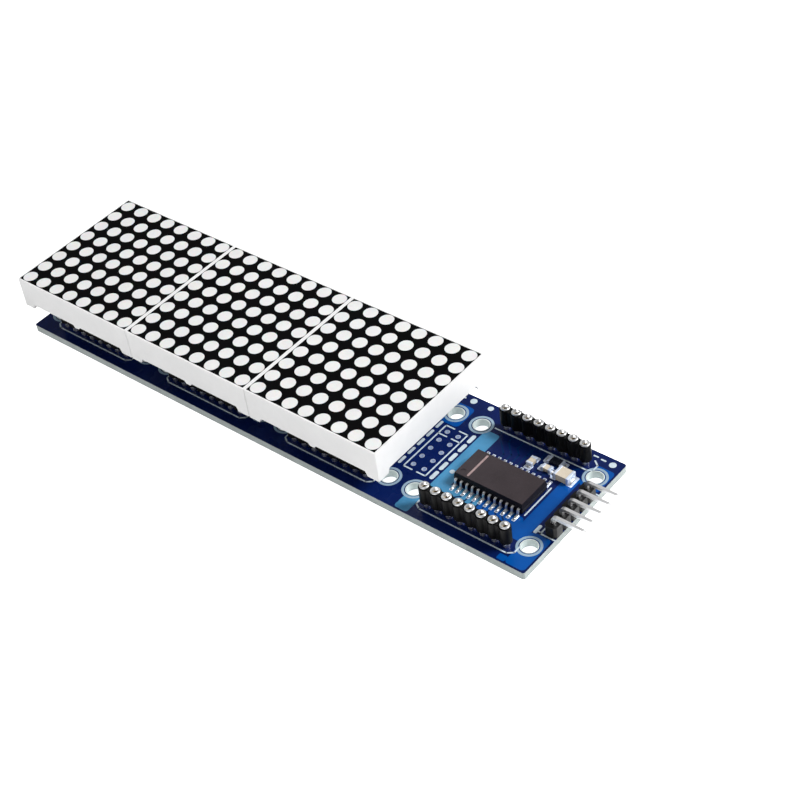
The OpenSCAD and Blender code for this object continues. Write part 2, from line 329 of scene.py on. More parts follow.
class Finish:
    """One material with a Principled shader, and short calls that plug the shared groups into it."""

    def __init__(self, name, metallic=0.0, specular=0.5, coat=0.0):
        self.material = bpy.data.materials.new(name)
        self.material.use_nodes = True
        self.tree = self.material.node_tree
        self.shader = self.tree.nodes["Principled BSDF"]
        fill(self.shader, Metallic=metallic, Specular_IOR_Level=specular, IOR=1.5)
        fill(self.shader, Coat_Weight=coat, Coat_Roughness=0.05)
        self.place = self.tree.nodes.new("ShaderNodeTexCoord")

    def group(self, tree, **values):
        """Adds a group that reads the object's own coordinates and has these values."""
        node = self.tree.nodes.new("ShaderNodeGroup")
        node.node_tree = tree
        wire(self.tree, self.place, "Object", node, "Vector")
        return fill(node, **values)

    def mottle(self, base, shade, scale, fine, detail):
        """Colour that changes between two, at a broad and a fine scale, with a share of the fine one."""
        node = self.group(mottle_group(), Scale=scale, Detail_Scale=fine, Detail=detail)
        return fill(node, Base=(*base, 1), Shade=(*shade, 1))

    def colour(self, *mottle):
        wire(self.tree, self.mottle(*mottle), "Color", self.shader, "Base Color")

    def grain(self, scale, low, high, depth):
        """Roughness between low and high, and a bump of this depth in millimetres."""
        node = self.group(grain_group(), Scale=scale, Roughness_Low=low, Roughness_High=high)
        wire(self.tree, node, "Roughness", self.shader, "Roughness")
        self.bump(node, depth)

    def bump(self, source, depth):
        """Bump of a real depth in millimetres, stacked on the one before it."""
        node = fill(self.tree.nodes.new("ShaderNodeBump"), Strength=1.0, Distance=depth * MM)
        wire(self.tree, source, "Height", node, "Height")
        before = self.shader.inputs["Normal"]
        if before.is_linked:
            self.tree.links.new(before.links[0].from_socket, node.inputs["Normal"])
        wire(self.tree, node, "Normal", self.shader, "Normal")

    def by_slope(self, side, top, low=0.0, high=1.0):
        """Colour of upright faces and of level ones; between them it changes with the face's slope."""
        facing = self.tree.nodes.new("ShaderNodeSeparateXYZ")
        span = fill(self.tree.nodes.new("ShaderNodeMapRange"), From_Min=low, From_Max=high)
        choose = colour_mix(self.tree)
        wire(self.tree, self.place, "Normal", facing, "Vector")
        wire(self.tree, span, "Result", choose, "Factor")
        wire(self.tree, side, "Color", choose, "A")
        wire(self.tree, top, "Color", choose, "B")
        wire(self.tree, choose, "Result", self.shader, "Base Color")
        return facing, span


def scaled(colour, factor):
    """A colour made lighter or darker."""
    return tuple(min(1.0, part * factor) for part in colour)


def plain(name, base, shade, mottle, grain, **shader):
    """A mottled colour and a fine grain, which is all that most surfaces need.

    mottle is (scale, fine scale, share of the fine one), both scales per metre;
    grain is (scale, lowest roughness, highest roughness, depth in millimetres).
    """
    finish = Finish(name, **shader)
    finish.colour(base, shade, *mottle)
    finish.grain(*grain)
    return finish


def finished(make):
    """The material that a function makes, named after it and made the first time it is asked for."""
    name = make.__name__.replace("_", " ").capitalize()
    return bpy.data.materials.get(name) or make(name).material


# ---------- materials ----------


def solder_mask(name):
    """Blue lacquer on top and underneath, bare laminate on the cut edges and in the holes."""
    mask, laminate = colours().mask, colours().laminate
    finish = Finish(name, specular=0.09, coat=0.05)
    lacquer = finish.mottle(mask, scaled(mask, 1.5), 60.0, 700.0, 0.15)
    edge = finish.mottle(laminate, scaled(laminate, 0.7), 400.0, 6000.0, 0.6)
    facing, span = finish.by_slope(edge, lacquer)
    either_way = math_node(finish.tree, "ABSOLUTE")
    wire(finish.tree, facing, "Z", either_way, 0)
    wire(finish.tree, either_way, "Value", span, "Value")
    finish.grain(1800.0, 0.2, 0.34, 0.004)
    cloth = finish.group(weave_group(), Threads=9000.0)
    finish.bump(cloth, 0.0015)
    return finish


def lifted_lacquer(name, lacquer):
    """The same lacquer where copper lies under it, and where lighter sheets are painted light."""
    return plain(
        name, lacquer, scaled(lacquer, 1.3), (90.0, 900.0, 0.2), (1800.0, 0.16, 0.28, 0.003),
        specular=0.09, coat=0.05,
    )


# Over copper, and on top also painted light in the deep pours.
def mask_on_copper(name):
    return lifted_lacquer(name, colours().mask_copper)


# Painted light: the pale sheets left of the chip stand for lacquer in light and for the white walls'
# reflection in it.
def mask_on_pour(name):
    return lifted_lacquer(name, colours().mask_pale)


def mask_on_track(name):
    return lifted_lacquer(name, scaled(colours().mask_copper, 0.3))


def print_ink(name):
    """Slightly uneven white screen print."""
    ink = colours().ink
    return plain(
        name, ink, scaled(ink, 0.8), (700.0, 5000.0, 0.5), (5000.0, 0.5, 0.7, 0.006), specular=0.3
    )


def ring_ink(name):
    """Thinner coat of the same print, so that the blue shows through."""
    # The blue mixed in is the lighter blue that paints the lit lacquer.
    pairs = zip(scaled(colours().ink, 0.9), colours().mask_pale)
    ink = tuple((white + blue) / 2 for white, blue in pairs)
    return plain(
        name, ink, scaled(ink, 0.8), (700.0, 5000.0, 0.5), (5000.0, 0.5, 0.7, 0.005), specular=0.3
    )


def tinned_metal(name):
    """Hot-tinned copper and pins."""
    tin = colours().tin
    return plain(
        name, tin, scaled(tin, 0.88), (500.0, 4000.0, 0.35), (2500.0, 0.3, 0.44, 0.003), metallic=1.0
    )


def pad_tin(name):
    """Dull white tin levelled over copper; its pale blue tint and its lightness over the plated metal are a
    painted reflection.
    """
    return plain(
        name, (0.74, 0.82, 0.95), (0.6, 0.68, 0.84), (700.0, 5000.0, 0.4), (2200.0, 0.34, 0.5, 0.008),
        metallic=0.5, specular=0.6,
    )


def contact_metal(name):
    """Turned and tinned metal, a little less even in tone than the pins."""
    tin = colours().tin
    return plain(
        name, tin, scaled(tin, 0.8), (700.0, 5000.0, 0.35), (3000.0, 0.28, 0.42, 0.004), metallic=1.0
    )


def spring_gold(name):
    """Thin gold flash on the clip inside a contact."""
    return plain(
        name, (0.7, 0.56, 0.34), (0.58, 0.44, 0.24), (900.0, 6000.0, 0.3), (3500.0, 0.2, 0.32, 0.002),
        metallic=1.0,
    )


def solder(name):
    """Bright solder with a faint grey bloom of flux."""
    tin = colours().tin
    return plain(
        name, scaled(tin, 1.02), scaled(tin, 0.68), (900.0, 7000.0, 0.4), (1500.0, 0.14, 0.36, 0.012),
        metallic=1.0,
    )


def socket_moulding(name):
    """Satin black plastic of the sockets."""
    black = colours().plastic
    return plain(
        name, scaled(black, 0.4), black, (300.0, 3500.0, 0.4), (3000.0, 0.3, 0.45, 0.004), specular=0.08
    )


def header_moulding(name):
    """Rougher and slightly greyer black plastic of the header."""
    black = colours().plastic
    return plain(
        name, black, scaled(black, 2.0), (350.0, 3000.0, 0.4), (4000.0, 0.35, 0.55, 0.006), specular=0.2
    )


def chip_moulding(name):
    """Brownish black epoxy with a fine grain; its sides are painted darker than its top, as painted shade.
    """
    chip = colours().chip
    finish = Finish(name, specular=0.25)
    top = finish.mottle(chip, scaled(chip, 1.5), 200.0, 9000.0, 0.55)
    # Painted shade: the sides get a much darker copy of the chip's colour.
    painted_shade = scaled(chip, 0.3)
    side = finish.mottle(painted_shade, painted_shade, 200.0, 9000.0, 0.0)
    facing, span = finish.by_slope(side, top, 0.5, 0.95)
    wire(finish.tree, facing, "Z", span, "Value")
    finish.grain(9000.0, 0.42, 0.58, 0.014)
    return finish


def white_moulding(name):
    """White moulded plastic with a soft satin skin."""
    white = colours().casing
    return plain(
        name, white, scaled(white, 0.95), (60.0, 900.0, 0.3), (2600.0, 0.38, 0.52, 0.006), specular=0.35
    )


def face_ink(name):
    """Matt black ink, slightly uneven in tone."""
    face = colours().face
    return plain(
        name, face, scaled(face, 1.7), (120.0, 5000.0, 0.5), (4200.0, 0.4, 0.6, 0.003), specular=0.03
    )


def milky_resin(name):
    """Cast white resin, a little cloudy from dot to dot."""
    resin = colours().resin
    finish = plain(
        name, resin, scaled(resin, 0.93), (330.0, 2600.0, 0.35), (1500.0, 0.3, 0.5, 0.005), specular=0.3
    )
    fill(finish.shader, Subsurface_Weight=0.15, Subsurface_Scale=0.4 * MM)
    return finish


def bare_laminate(name):
    """Greenish glass-fibre board inside a display."""
    return plain(
        name, (0.2, 0.26, 0.1), (0.26, 0.32, 0.14), (150.0, 2500.0, 0.4), (2500.0, 0.4, 0.6, 0.006),
        specular=0.4,
    )


def bare_rim(name):
    """Pale laminate in a screw hole and where the lacquer stops short of it."""
    laminate = colours().laminate
    return plain(
        name, scaled(laminate, 1.7), scaled(laminate, 1.45), (600.0, 5000.0, 0.3),
        (3000.0, 0.4, 0.6, 0.005), specular=0.35,
    )


def crystal(name):
    """Polished die of a light-emitting diode."""
    return plain(
        name, (0.7, 0.62, 0.26), (0.55, 0.5, 0.22), (3000.0, 12000.0, 0.3), (8000.0, 0.12, 0.2, 0.001),
        specular=0.7,
    )


def capacitor_ceramic(name):
    """Tan fired ceramic."""
    return plain(
        name, (0.66, 0.6, 0.5), (0.58, 0.5, 0.38), (500.0, 7000.0, 0.5), (6000.0, 0.38, 0.55, 0.008),
        specular=0.4,
    )


def resistor_glaze(name):
    """Dark glaze over the resistor's film."""
    return plain(
        name, (0.006, 0.009, 0.018), (0.014, 0.018, 0.03), (600.0, 6000.0, 0.4), (3500.0, 0.2, 0.35, 0.004),
        specular=0.5,
    )


def faded_mark(name):
    """Pale mark on a chip's top."""
    return plain(
        name, (0.4, 0.29, 0.28), (0.28, 0.2, 0.2), (900.0, 8000.0, 0.5), (9000.0, 0.5, 0.7, 0.004),
        specular=0.25,
    )


def studio_floor(name):
    """Pale floor that takes the object's shadow, glows a little, and looks white to the camera."""
    seen_glow, other_glow = 0.9, 0.35
    finish = Finish(name, specular=0.0)
    finish.colour((0.8, 0.8, 0.8), (0.79, 0.79, 0.79), 3.0, 40.0, 0.2)
    fill(finish.shader, Roughness=1.0)
    tree = finish.tree
    path = tree.nodes.new("ShaderNodeLightPath")
    lift = tree.nodes.new("ShaderNodeEmission")
    both = tree.nodes.new("ShaderNodeAddShader")
    seen, seen_or_through = math_node(tree, "ADD", clamp=True), math_node(tree, "ADD", clamp=True)
    amount = math_node(tree, "MULTIPLY_ADD")
    amount.inputs[1].default_value = seen_glow
    amount.inputs[2].default_value = other_glow
    wire(tree, path, "Is Camera Ray", seen, 0)
    wire(tree, path, "Is Glossy Ray", seen, 1)
    wire(tree, seen, "Value", seen_or_through, 0)
    wire(tree, path, "Is Transmission Ray", seen_or_through, 1)
    wire(tree, seen_or_through, "Value", amount, 0)
    wire(tree, amount, "Value", lift, "Strength")
    wire(tree, finish.shader, "BSDF", both, 0)
    wire(tree, lift, "Emission", both, 1)
    wire(tree, both, "Shader", tree.nodes["Material Output"], "Surface")
    return finish


MATERIALS = {
    "board": solder_mask,
    "solder": solder,
    "header_plastic": header_moulding,
    "pin_metal": tinned_metal,
    "socket_plastic": socket_moulding,
    "contact_metal": contact_metal,
    "clip_metal": spring_gold,
    "chip_plastic": chip_moulding,
    "capacitor": capacitor_ceramic,
    "resistor": resistor_glaze,
    "shell_plastic": white_moulding,
    "face_film": face_ink,
    "resin": milky_resin,
    "carrier_board": bare_laminate,
    "led_die": crystal,
}


# ---------- modelling helpers ----------


def start_fresh():
    """Back in object mode with nothing selected."""
    if bpy.context.object and bpy.context.object.mode != "OBJECT":
        bpy.ops.object.mode_set(mode="OBJECT")
    bpy.ops.object.select_all(action="DESELECT")


def pick(piece):
    """Makes a piece the only one selected, and the active one."""
    start_fresh()
    piece.select_set(True)
    bpy.context.view_layer.objects.active = piece


def edit(select="SELECT"):
    """Edit mode on the active object, with all or nothing of it selected."""
    bpy.ops.object.mode_set(mode="EDIT")
    bpy.ops.mesh.select_all(action=select)


def bake_place(piece):
    """Puts the piece's place into its mesh."""
    bpy.ops.object.mode_set(mode="OBJECT")
    bpy.ops.object.transform_apply(location=True, rotation=True, scale=True)
    return piece


def printed_bar(start, end, width, z):
    """Flat stroke with round ends from one point to another."""
    start_fresh()
    run = Vector(end) - Vector(start)
    centre = (Vector(start) + Vector(end)) / 2
    bpy.ops.mesh.primitive_plane_add(
        size=1, location=(centre.x, centre.y, z), rotation=(0, 0, math.atan2(run.y, run.x))
    )
    bar = bpy.context.object
    bar.scale = (run.length + width, width, 1)
    bake_place(bar)
    edit()
    bpy.ops.mesh.bevel(offset=width * 0.42, offset_type="OFFSET", segments=2, affect="VERTICES")
    return bake_place(bar)


def printed_path(points, width, z):
    """A chain of strokes."""
    return [printed_bar(a, b, width, z) for a, b in zip(points, points[1:])]


def flat_ring(x, y, z, outer, inner):
    """Flat ring between two radii."""
    start_fresh()
    bpy.ops.mesh.primitive_circle_add(
        vertices=sizes().round_steps, radius=outer, fill_type="NOTHING", location=(x, y, z)
    )
    ring = bpy.context.object
    edit()
    bpy.ops.mesh.extrude_region()
    bpy.ops.transform.resize(value=(inner / outer, inner / outer, 1), center_override=(x, y, z))
    return bake_place(ring)


def flat_disc(x, y, z, radius):
    """Round dot, with a smaller disc inset in it."""
    start_fresh()
    bpy.ops.mesh.primitive_circle_add(
        vertices=sizes().round_steps // 2, radius=radius, fill_type="NGON", location=(x, y, z)
    )
    disc = bpy.context.object
    edit()
    bpy.ops.mesh.inset(thickness=radius * 0.3)
    return bake_place(disc)


def flat_pad(x, y, z, length, width):
    """Flat rectangle with round corners."""
    start_fresh()
    bpy.ops.mesh.primitive_plane_add(size=1, location=(x, y, z))
    pad = bpy.context.object
    pad.scale = (length, width, 1)
    bake_place(pad)
    edit()
    bpy.ops.mesh.bevel(offset=min(length, width) * 0.18, segments=3, affect="VERTICES")
    return bake_place(pad)


def solder_bead(x, y, z, length, width, height):
    """Low dome of solder, its flat side on z."""
    start_fresh()
    bpy.ops.mesh.primitive_uv_sphere_add(segments=10, ring_count=6, radius=1, location=(x, y, z))
    bead = bpy.context.object
    bead.scale = (length / 2, width / 2, height)
    bake_place(bead)
    edit()
    bpy.ops.mesh.bisect(plane_co=(x, y, z), plane_no=(0, 0, 1), clear_inner=True, use_fill=True)
    bake_place(bead)
    bpy.ops.object.shade_smooth()
    return bead


def rounded_block(x, y, z, length, width, height, edge):
    """Block standing on z with its edges rounded over."""
    start_fresh()
    bpy.ops.mesh.primitive_cube_add(size=1, location=(x, y, z + height / 2))
    body = bpy.context.object
    body.scale = (length, width, height)
    bake_place(body)
    edit()
    bpy.ops.mesh.bevel(offset=edge, offset_type="OFFSET", segments=2, affect="EDGES")
    return bake_place(body)


def joined(name, parts):
    """One object out of several, at the origin."""
    start_fresh()
    for part in parts:
        part.select_set(True)
    bpy.context.view_layer.objects.active = parts[0]
    if len(parts) > 1:
        bpy.ops.object.join()
    piece = bpy.context.object
    bake_place(piece)
    bpy.context.scene.cursor.location = (0, 0, 0)
    bpy.ops.object.origin_set(type="ORIGIN_CURSOR")
    piece.name = name
    piece.data.name = name
    return piece


def thickened(piece, thickness):
    """Gives a flat sheet its thickness upwards, as a closed skin."""
    pick(piece)
    edit("DESELECT")
    bpy.ops.mesh.select_mode(type="FACE")
    bpy.ops.object.mode_set(mode="OBJECT")
    for face in piece.data.polygons:
        face.select = face.normal.z < 0
    bpy.ops.object.mode_set(mode="EDIT")
    bpy.ops.mesh.flip_normals()
    bpy.ops.mesh.select_mode(type="VERT")
    bpy.ops.object.mode_set(mode="OBJECT")
    skin = piece.modifiers.new("Thickness", "SOLIDIFY")
    skin.thickness = thickness
    skin.offset = 1
    bpy.ops.object.modifier_apply(modifier=skin.name)
    edit()
    bpy.ops.mesh.normals_make_consistent(inside=False)
    bpy.ops.object.mode_set(mode="OBJECT")
    return piece


def sheet(name, parts, thickness):
    """One thin piece out of several flat ones."""
    return thickened(joined(name, parts), thickness)


def drilled(piece, n, radius):
    """Cuts holes of this radius out of a flat piece, where section n's screws go."""
    drills = []
    for x, y in screw_holes(n):
        start_fresh()
        bpy.ops.mesh.primitive_cylinder_add(
            vertices=sizes().round_steps, radius=radius, depth=4 * MM, location=(x, y, BOARD_TOP)
        )
        drills.append(bpy.context.object)
    tool = joined("drills", drills)
    pick(piece)
    cut = piece.modifiers.new("Holes", "BOOLEAN")
    cut.operation = "DIFFERENCE"
    cut.object = tool
    bpy.ops.object.modifier_apply(modifier=cut.name)
    pick(tool)
    bpy.ops.object.delete()
    return piece


def tube(x, y, low, high, outer, inner):
    """Open tube standing between two heights."""
    start_fresh()
    bpy.ops.mesh.primitive_circle_add(
        vertices=sizes().round_steps // 2, radius=outer, fill_type="NOTHING", location=(x, y, low)
    )
    wall = bpy.context.object
    edit()
    bpy.ops.mesh.extrude_region_move(TRANSFORM_OT_translate={"value": (0, 0, high - low)})
    bake_place(wall)
    skin = wall.modifiers.new("Wall", "SOLIDIFY")
    skin.thickness = outer - inner
    skin.offset = -1
    bpy.ops.object.modifier_apply(modifier=skin.name)
    edit()
    bpy.ops.mesh.normals_make_consistent(inside=False)
    return bake_place(wall)


def copied(piece, name, offset):
    """A copy with its own mesh, moved and with its place in that mesh."""
    pick(piece)
    bpy.ops.object.duplicate()
    copy = bpy.context.object
    copy.location = offset
    bpy.ops.object.transform_apply(location=True, rotation=True, scale=True)
    copy.name = name
    copy.data.name = name
    return copy


def dressed(piece, make):
    """Material and body of a finished piece."""
    piece.data.materials.clear()
    piece.data.materials.append(finished(make))
    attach(piece, BODY)
    return piece


def on_every_section(piece, make):
    """Copies a piece modelled on section 1 to the others, and dresses them all."""
    base = piece.name
    piece.name = f"{base}_1"
    first = section_x(1)
    for n in range(2, SECTIONS + 1):
        dressed(copied(piece, f"{base}_{n}", (section_x(n) - first, 0, 0)), make)
    dressed(piece, make)


# ---------- operators: pieces ----------


class MATRIX_OT_finish_frame(Operator):
    """Gives every construction part its material"""

    bl_idname = "matrix.finish_frame"
    bl_label = "Finish the parts"

    def execute(self, context):
        slots = {entry["node"]: entry["material_slot"] for entry in frame["record"]["subparts"]}
        for node, part in NODES.items():
            material = finished(MATERIALS[slots[node]])
            if not part.material_slots:
                part.data.materials.append(material)
            for slot in part.material_slots:
                slot.material = material
        return {"FINISHED"}


class MATRIX_OT_copper_pours(Operator):
    """Adds the copper areas under the lacquer, above and below the board; on top their lighter blues also
    paint light falling on the open board
    """

    bl_idname = "matrix.copper_pours"
    bl_label = "Copper pours"

    def execute(self, context):
        lift = sizes().copper
        margin = 0.4 * MM
        front, back = BOARD_LOW.y + margin, BOARD_HIGH.y - margin
        low, top = CHIP_Y - 9.2 * MM, HOLE_Y - 0.6 * MM
        feet = CHIP_Y - 4.2 * MM
        strip_edge = SOCKET_Y - 1.8 * MM
        for n in range(1, SECTIONS + 1):
            last = n == SECTIONS
            link = section_edge_x(n - 1) + 2.4 * MM
            start = section_edge_x(n - 1) + 4.6 * MM
            chip_left = section_x(n) + CHIP_X - 7.75 * MM
            chip_right = section_x(n) + CHIP_X + 8.6 * MM
            seam = chip_left + 7 * MM
            end = section_edge_x(n) - (4.6 * MM if last else 5.2 * MM)
            stop = section_edge_x(n) - margin
            strip_end = section_x(n) + 9.0 * MM
            # Painted light: the pale and deep areas on top lie where light falls on the open board and
            # reflects in the lacquer; copper lies under the deep ones.
            pale = [self.area(start, chip_left, low, top), self.area(chip_left, seam, low, feet)]
            deep = [
                self.area(chip_right, end, low, top - 1.2 * MM),
                self.area(seam, chip_right, low, feet),
                self.area(end, stop, HOLE_Y - 3.1 * MM, back - 2.6 * MM),
            ]
            # Painted light on the open last section only, where no display shades the board.
            if last:
                pale.append(self.area(link, start + 0.8 * MM, front, -HOLE_Y - 1.2 * MM))
                deep.append(self.area(end, stop, front, -6.9 * MM))
                deep.append(self.area(strip_end, end, front, -SOCKET_Y - 2.0 * MM))
            below = [self.area(start, end, -strip_edge, strip_edge, BOARD_LOW.z - lift)]
            for base, areas, make in (
                ("pale_lit_pour", pale, mask_on_pour),
                ("deep_lit_pour", deep, mask_on_copper),
                ("under_pour", below, mask_on_copper),
            ):
                dressed(drilled(sheet(f"{base}_{n}", areas, lift), n, POUR_GAP), make)
        return {"FINISHED"}

    def area(self, x0, x1, y0, y1, z=BOARD_TOP):
        return flat_pad((x0 + x1) / 2, (y0 + y1) / 2, z, x1 - x0, y1 - y0)


class MATRIX_OT_tracks(Operator):
    """Adds the lacquered tracks from the driver chip to the sockets, and a bundle underneath"""

    bl_idname = "matrix.tracks"
    bl_label = "Tracks"

    def execute(self, context):
        size = sizes()
        thick = size.copper * TRACK_LIFT
        first_lead = 2
        pads = [CHIP_X + x for x in row(CHIP_LEADS, LEAD_PITCH)][first_lead:]
        strokes = []
        for side in (-1, 1):
            for pad_x, pin_x in zip(pads, row(ROW_PINS, PITCH)):
                chain = [(section_x(1) + x, y) for x, y in self.route(pad_x, pin_x, side)]
                strokes += printed_path(chain, size.track, BOARD_TOP)
        on_every_section(sheet("tracks", strokes, thick), mask_on_track)
        below = BOARD_LOW.z - size.copper - thick
        start, step = section_x(1) - 9.0 * MM, 1.5 * MM
        turn, end = start + 9.0 * MM, start + 17.5 * MM
        under = []
        for y in row(ROW_PINS, 1.1 * MM):
            chain = [(start, y), (turn, y), (turn + step, y + step), (end, y + step)]
            under += printed_path(chain, size.track, below)
        on_every_section(sheet("under_tracks", under, thick), mask_on_track)
        return {"FINISHED"}

    def route(self, pad_x, pin_x, side):
        """From a chip pad straight out, slanting at 45 degrees, and on to the pin."""
        pad_y = CHIP_Y + side * (LEAD_REACH + 0.6 * MM)
        pin_y = side * (SOCKET_Y - 1.2 * MM)
        slant = abs(pin_x - pad_x)
        room = abs(pin_y - pad_y)
        turn_y = pad_y + side * max(0.0, room - slant) / 2
        return [(pad_x, pad_y), (pad_x, turn_y), (pin_x, turn_y + side * min(slant, room)), (pin_x, pin_y)]


class MATRIX_OT_hole_rings(Operator):
    """Adds the printed rings and bare rims of the screw holes, above and below, and the holes' walls"""

    bl_idname = "matrix.hole_rings"
    bl_label = "Hole rings"

    def execute(self, context):
        size = sizes()
        outer = size.ring / 2
        holes = [place for n in range(1, SECTIONS + 1) for place in screw_holes(n)]
        for name, z in (("hole_rings", BOARD_TOP), ("under_rings", BOARD_LOW.z - size.ink)):
            rings = [flat_ring(x, y, z, outer, outer - size.ring_line) for x, y in holes]
            dressed(sheet(name, rings, size.ink), ring_ink)
            rims = [flat_ring(x, y, z, *RIM) for x, y in holes]
            dressed(sheet(f"{name}_rims", rims, size.copper), bare_rim)
        linings = [tube(x, y, BOARD_LOW.z, BOARD_TOP, *LINING) for x, y in holes]
        dressed(joined("hole_linings", linings), bare_rim)
        return {"FINISHED"}


class MATRIX_OT_link_print(Operator):
    """Adds the brackets, plain label bars and dots printed beside each row of link pads"""

    bl_idname = "matrix.link_print"
    bl_label = "Link print"

    def execute(self, context):
        size = sizes()
        z = BOARD_TOP + size.copper
        for n in range(1, SECTIONS + 1):
            edge = section_edge_x(n - 1)
            strokes = self.bracket(edge, 1, size.line, z) + self.labels(edge, 1, 0.85 * MM, z)
            strokes.append(flat_disc(edge + 1.8 * MM, BOARD_HIGH.y - 1.25 * MM, z, 0.6 * MM))
            if n > 1:
                strokes += self.bracket(edge, -1, size.line, z) + self.labels(edge, -1, 0.6 * MM, z)
                strokes.append(flat_disc(edge - 2.2 * MM, BOARD_HIGH.y - 1.3 * MM, z, 0.7 * MM))
            dressed(sheet(f"link_print_{n}", strokes, size.ink), print_ink)
        return {"FINISHED"}

    def bracket(self, edge, side, line, z):
        """Long line beside the pads, an arm at each end, and a box round the first pad."""
        outer, inner = edge + side * 2.55 * MM, edge + side * 0.6 * MM
        end, box = 6.4 * MM, 3.95 * MM
        points = [(inner, -end), (outer, -end), (outer, end), (inner, end)]
        return printed_path(points, line, z) + printed_path([(outer, box), (inner, box)], line, z)

    def labels(self, edge, side, width, z):
        """One plain bar beside each pad."""
        x, step, shift, reach = edge + side * 3.8 * MM, 2.8 * MM, 0.3 * MM, 0.75 * MM
        places = [y + shift for y in row(LINK_PINS, step)]
        return [printed_bar((x, y - reach), (x, y + reach), width, z) for y in places]


class MATRIX_OT_section_print(Operator):
    """Adds the outlines printed round each section's sockets and chip, and plain print underneath"""

    bl_idname = "matrix.section_print"
    bl_label = "Section print"

    def execute(self, context):
        size = sizes()
        x, z = section_x(1), BOARD_TOP + size.copper
        strokes = []
        for chain in self.outlines(x):
            strokes += printed_path(chain, size.line, z)
        strokes.append(flat_disc(x + CHIP_X - 9.6 * MM, CHIP_Y - 1.9 * MM, z, 0.5 * MM))
        for start, y in ((x + 9.0 * MM, 14.6 * MM), (x + 10.7 * MM, 14.45 * MM)):
            strokes.append(printed_bar((start, y), (start + 0.8 * MM, y), 0.35 * MM, z))
        on_every_section(sheet("section_print", strokes, size.ink), print_ink)
        below = []
        for chain in self.outlines(x)[:2]:
            below += printed_path(chain, size.line, BOARD_LOW.z - size.copper - size.ink)
        past_tracks = BOARD_LOW.z - (1 + 2 * TRACK_LIFT) * size.copper - size.ink
        for i, y in enumerate(row(3, 2.4 * MM)):
            bar = ((x - 4.5 * MM, y), (x + (3.5 - i) * MM, y))
            below.append(printed_bar(*bar, 1.0 * MM, past_tracks))
        on_every_section(sheet("under_print", below, size.ink), print_ink)
        return {"FINISHED"}

    def outlines(self, x):
        """Chains of points: round the front strip, round the back strip, and past the chip's end."""
        strip_y = SOCKET_Y + 1.45 * MM
        near, far = strip_y - 0.8 * MM, SOCKET_Y - 0.9 * MM
        inside = SOCKET_Y - 1.35 * MM
        front = [(-10.8, -far), (-10.8, -near), (-9.6, -strip_y), (9.9, -strip_y), (11, -near), (11, -far)]
        back = [(-10.6, inside), (9.9, inside), (11, far), (11, near), (9.9, strip_y)]
        chains = [[(x + px * MM, py) for px, py in chain] for chain in (front, back)]
        chip_end = x + CHIP_X + 7.98 * MM
        chains.append([(chip_end, CHIP_Y - 3.6 * MM), (chip_end, CHIP_Y + 4.4 * MM)])
        return chains


class MATRIX_OT_header_print(Operator):
    """Adds the outline printed round the input header, with a block that marks its first pin"""

    bl_idname = "matrix.header_print"
    bl_label = "Header print"

    def execute(self, context):
        size = sizes()
        z = BOARD_TOP + size.copper
        x = HEADER_LOW.x - 0.6 * MM
        end = 6.6 * MM
        strokes = printed_path(
            [(HEADER_HIGH.x, -end), (x, -end), (x, end), (HEADER_HIGH.x, end)], size.line, z
        )
        for y in row(HEADER_PINS + 1, PITCH):
            strokes.append(printed_bar((x - 0.1 * MM, y), (x - 0.55 * MM, y), size.line * 0.8, z))
        block_x = x - 1.0 * MM
        strokes.append(
            printed_bar((block_x, -end - 0.1 * MM), (block_x, 1.4 * MM - end), 0.7 * MM, z)
        )
        strokes.append(flat_disc(BOARD_HIGH.x - 2.1 * MM, BOARD_HIGH.y - 1.5 * MM, z, 0.7 * MM))
        dressed(sheet("header_print", strokes, size.ink), print_ink)
        return {"FINISHED"}


class MATRIX_OT_through_pads(Operator):
    """Adds the tinned pads round the link holes, and under the socket tails and the header pins"""

    bl_idname = "matrix.through_pads"
    bl_label = "Pads of the drilled holes"

    def execute(self, context):
        size = sizes()
        under = BOARD_LOW.z - size.tin
        columns = [section_edge_x(n - 1) + PITCH / 2 for n in range(1, SECTIONS + 1)]
        columns += [section_edge_x(n) - PITCH / 2 for n in range(1, SECTIONS)]
        link, barrels = [], []
        for x in columns:
            for y in row(LINK_PINS, PITCH):
                barrels.append(tube(x, y, under, BOARD_TOP + size.tin, *LINK_WALL))
                for z in (BOARD_TOP, under):
                    link.append(flat_ring(x, y, z, size.pad / 2, LINK_WALL[0]))
        dressed(sheet("link_pads", link, size.tin), pad_tin)
        dressed(joined("link_barrels", barrels), pad_tin)
        tails = []
        for x in row(ROW_PINS, PITCH):
            for y in (-SOCKET_Y, SOCKET_Y):
                tails.append(flat_ring(section_x(1) + x, y, under, *TAIL_PAD))
        on_every_section(sheet("tail_pads", tails, size.tin), tinned_metal)
        x = (HEADER_LOW.x + HEADER_HIGH.x) / 2
        header = [flat_ring(x, y, under, *HEADER_PAD) for y in row(HEADER_PINS, PITCH)]
        dressed(sheet("header_pads", header, size.tin), tinned_metal)
        return {"FINISHED"}


class MATRIX_OT_chip_pads(Operator):
    """Adds the tinned pads and the solder at the feet of each chip's leads"""

    bl_idname = "matrix.chip_pads"
    bl_label = "Chip pads"

    def execute(self, context):
        tin = sizes().tin
        pad = (0.68 * MM, 1.75 * MM)
        bead = (0.6 * MM, 1.15 * MM, 0.24 * MM)
        inwards, outwards = 0.15 * MM, 0.05 * MM
        pads, beads = [], []
        for lead in row(CHIP_LEADS, LEAD_PITCH):
            x = section_x(1) + CHIP_X + lead
            for side in (-1, 1):
                toe = CHIP_Y + side * LEAD_REACH
                pads.append(flat_pad(x, toe - side * inwards, BOARD_TOP, *pad))
                beads.append(solder_bead(x, toe + side * outwards, BOARD_TOP + tin, *bead))
        on_every_section(sheet("chip_pads", pads, tin), pad_tin)
        on_every_section(joined("chip_solder", beads), solder)
        return {"FINISHED"}


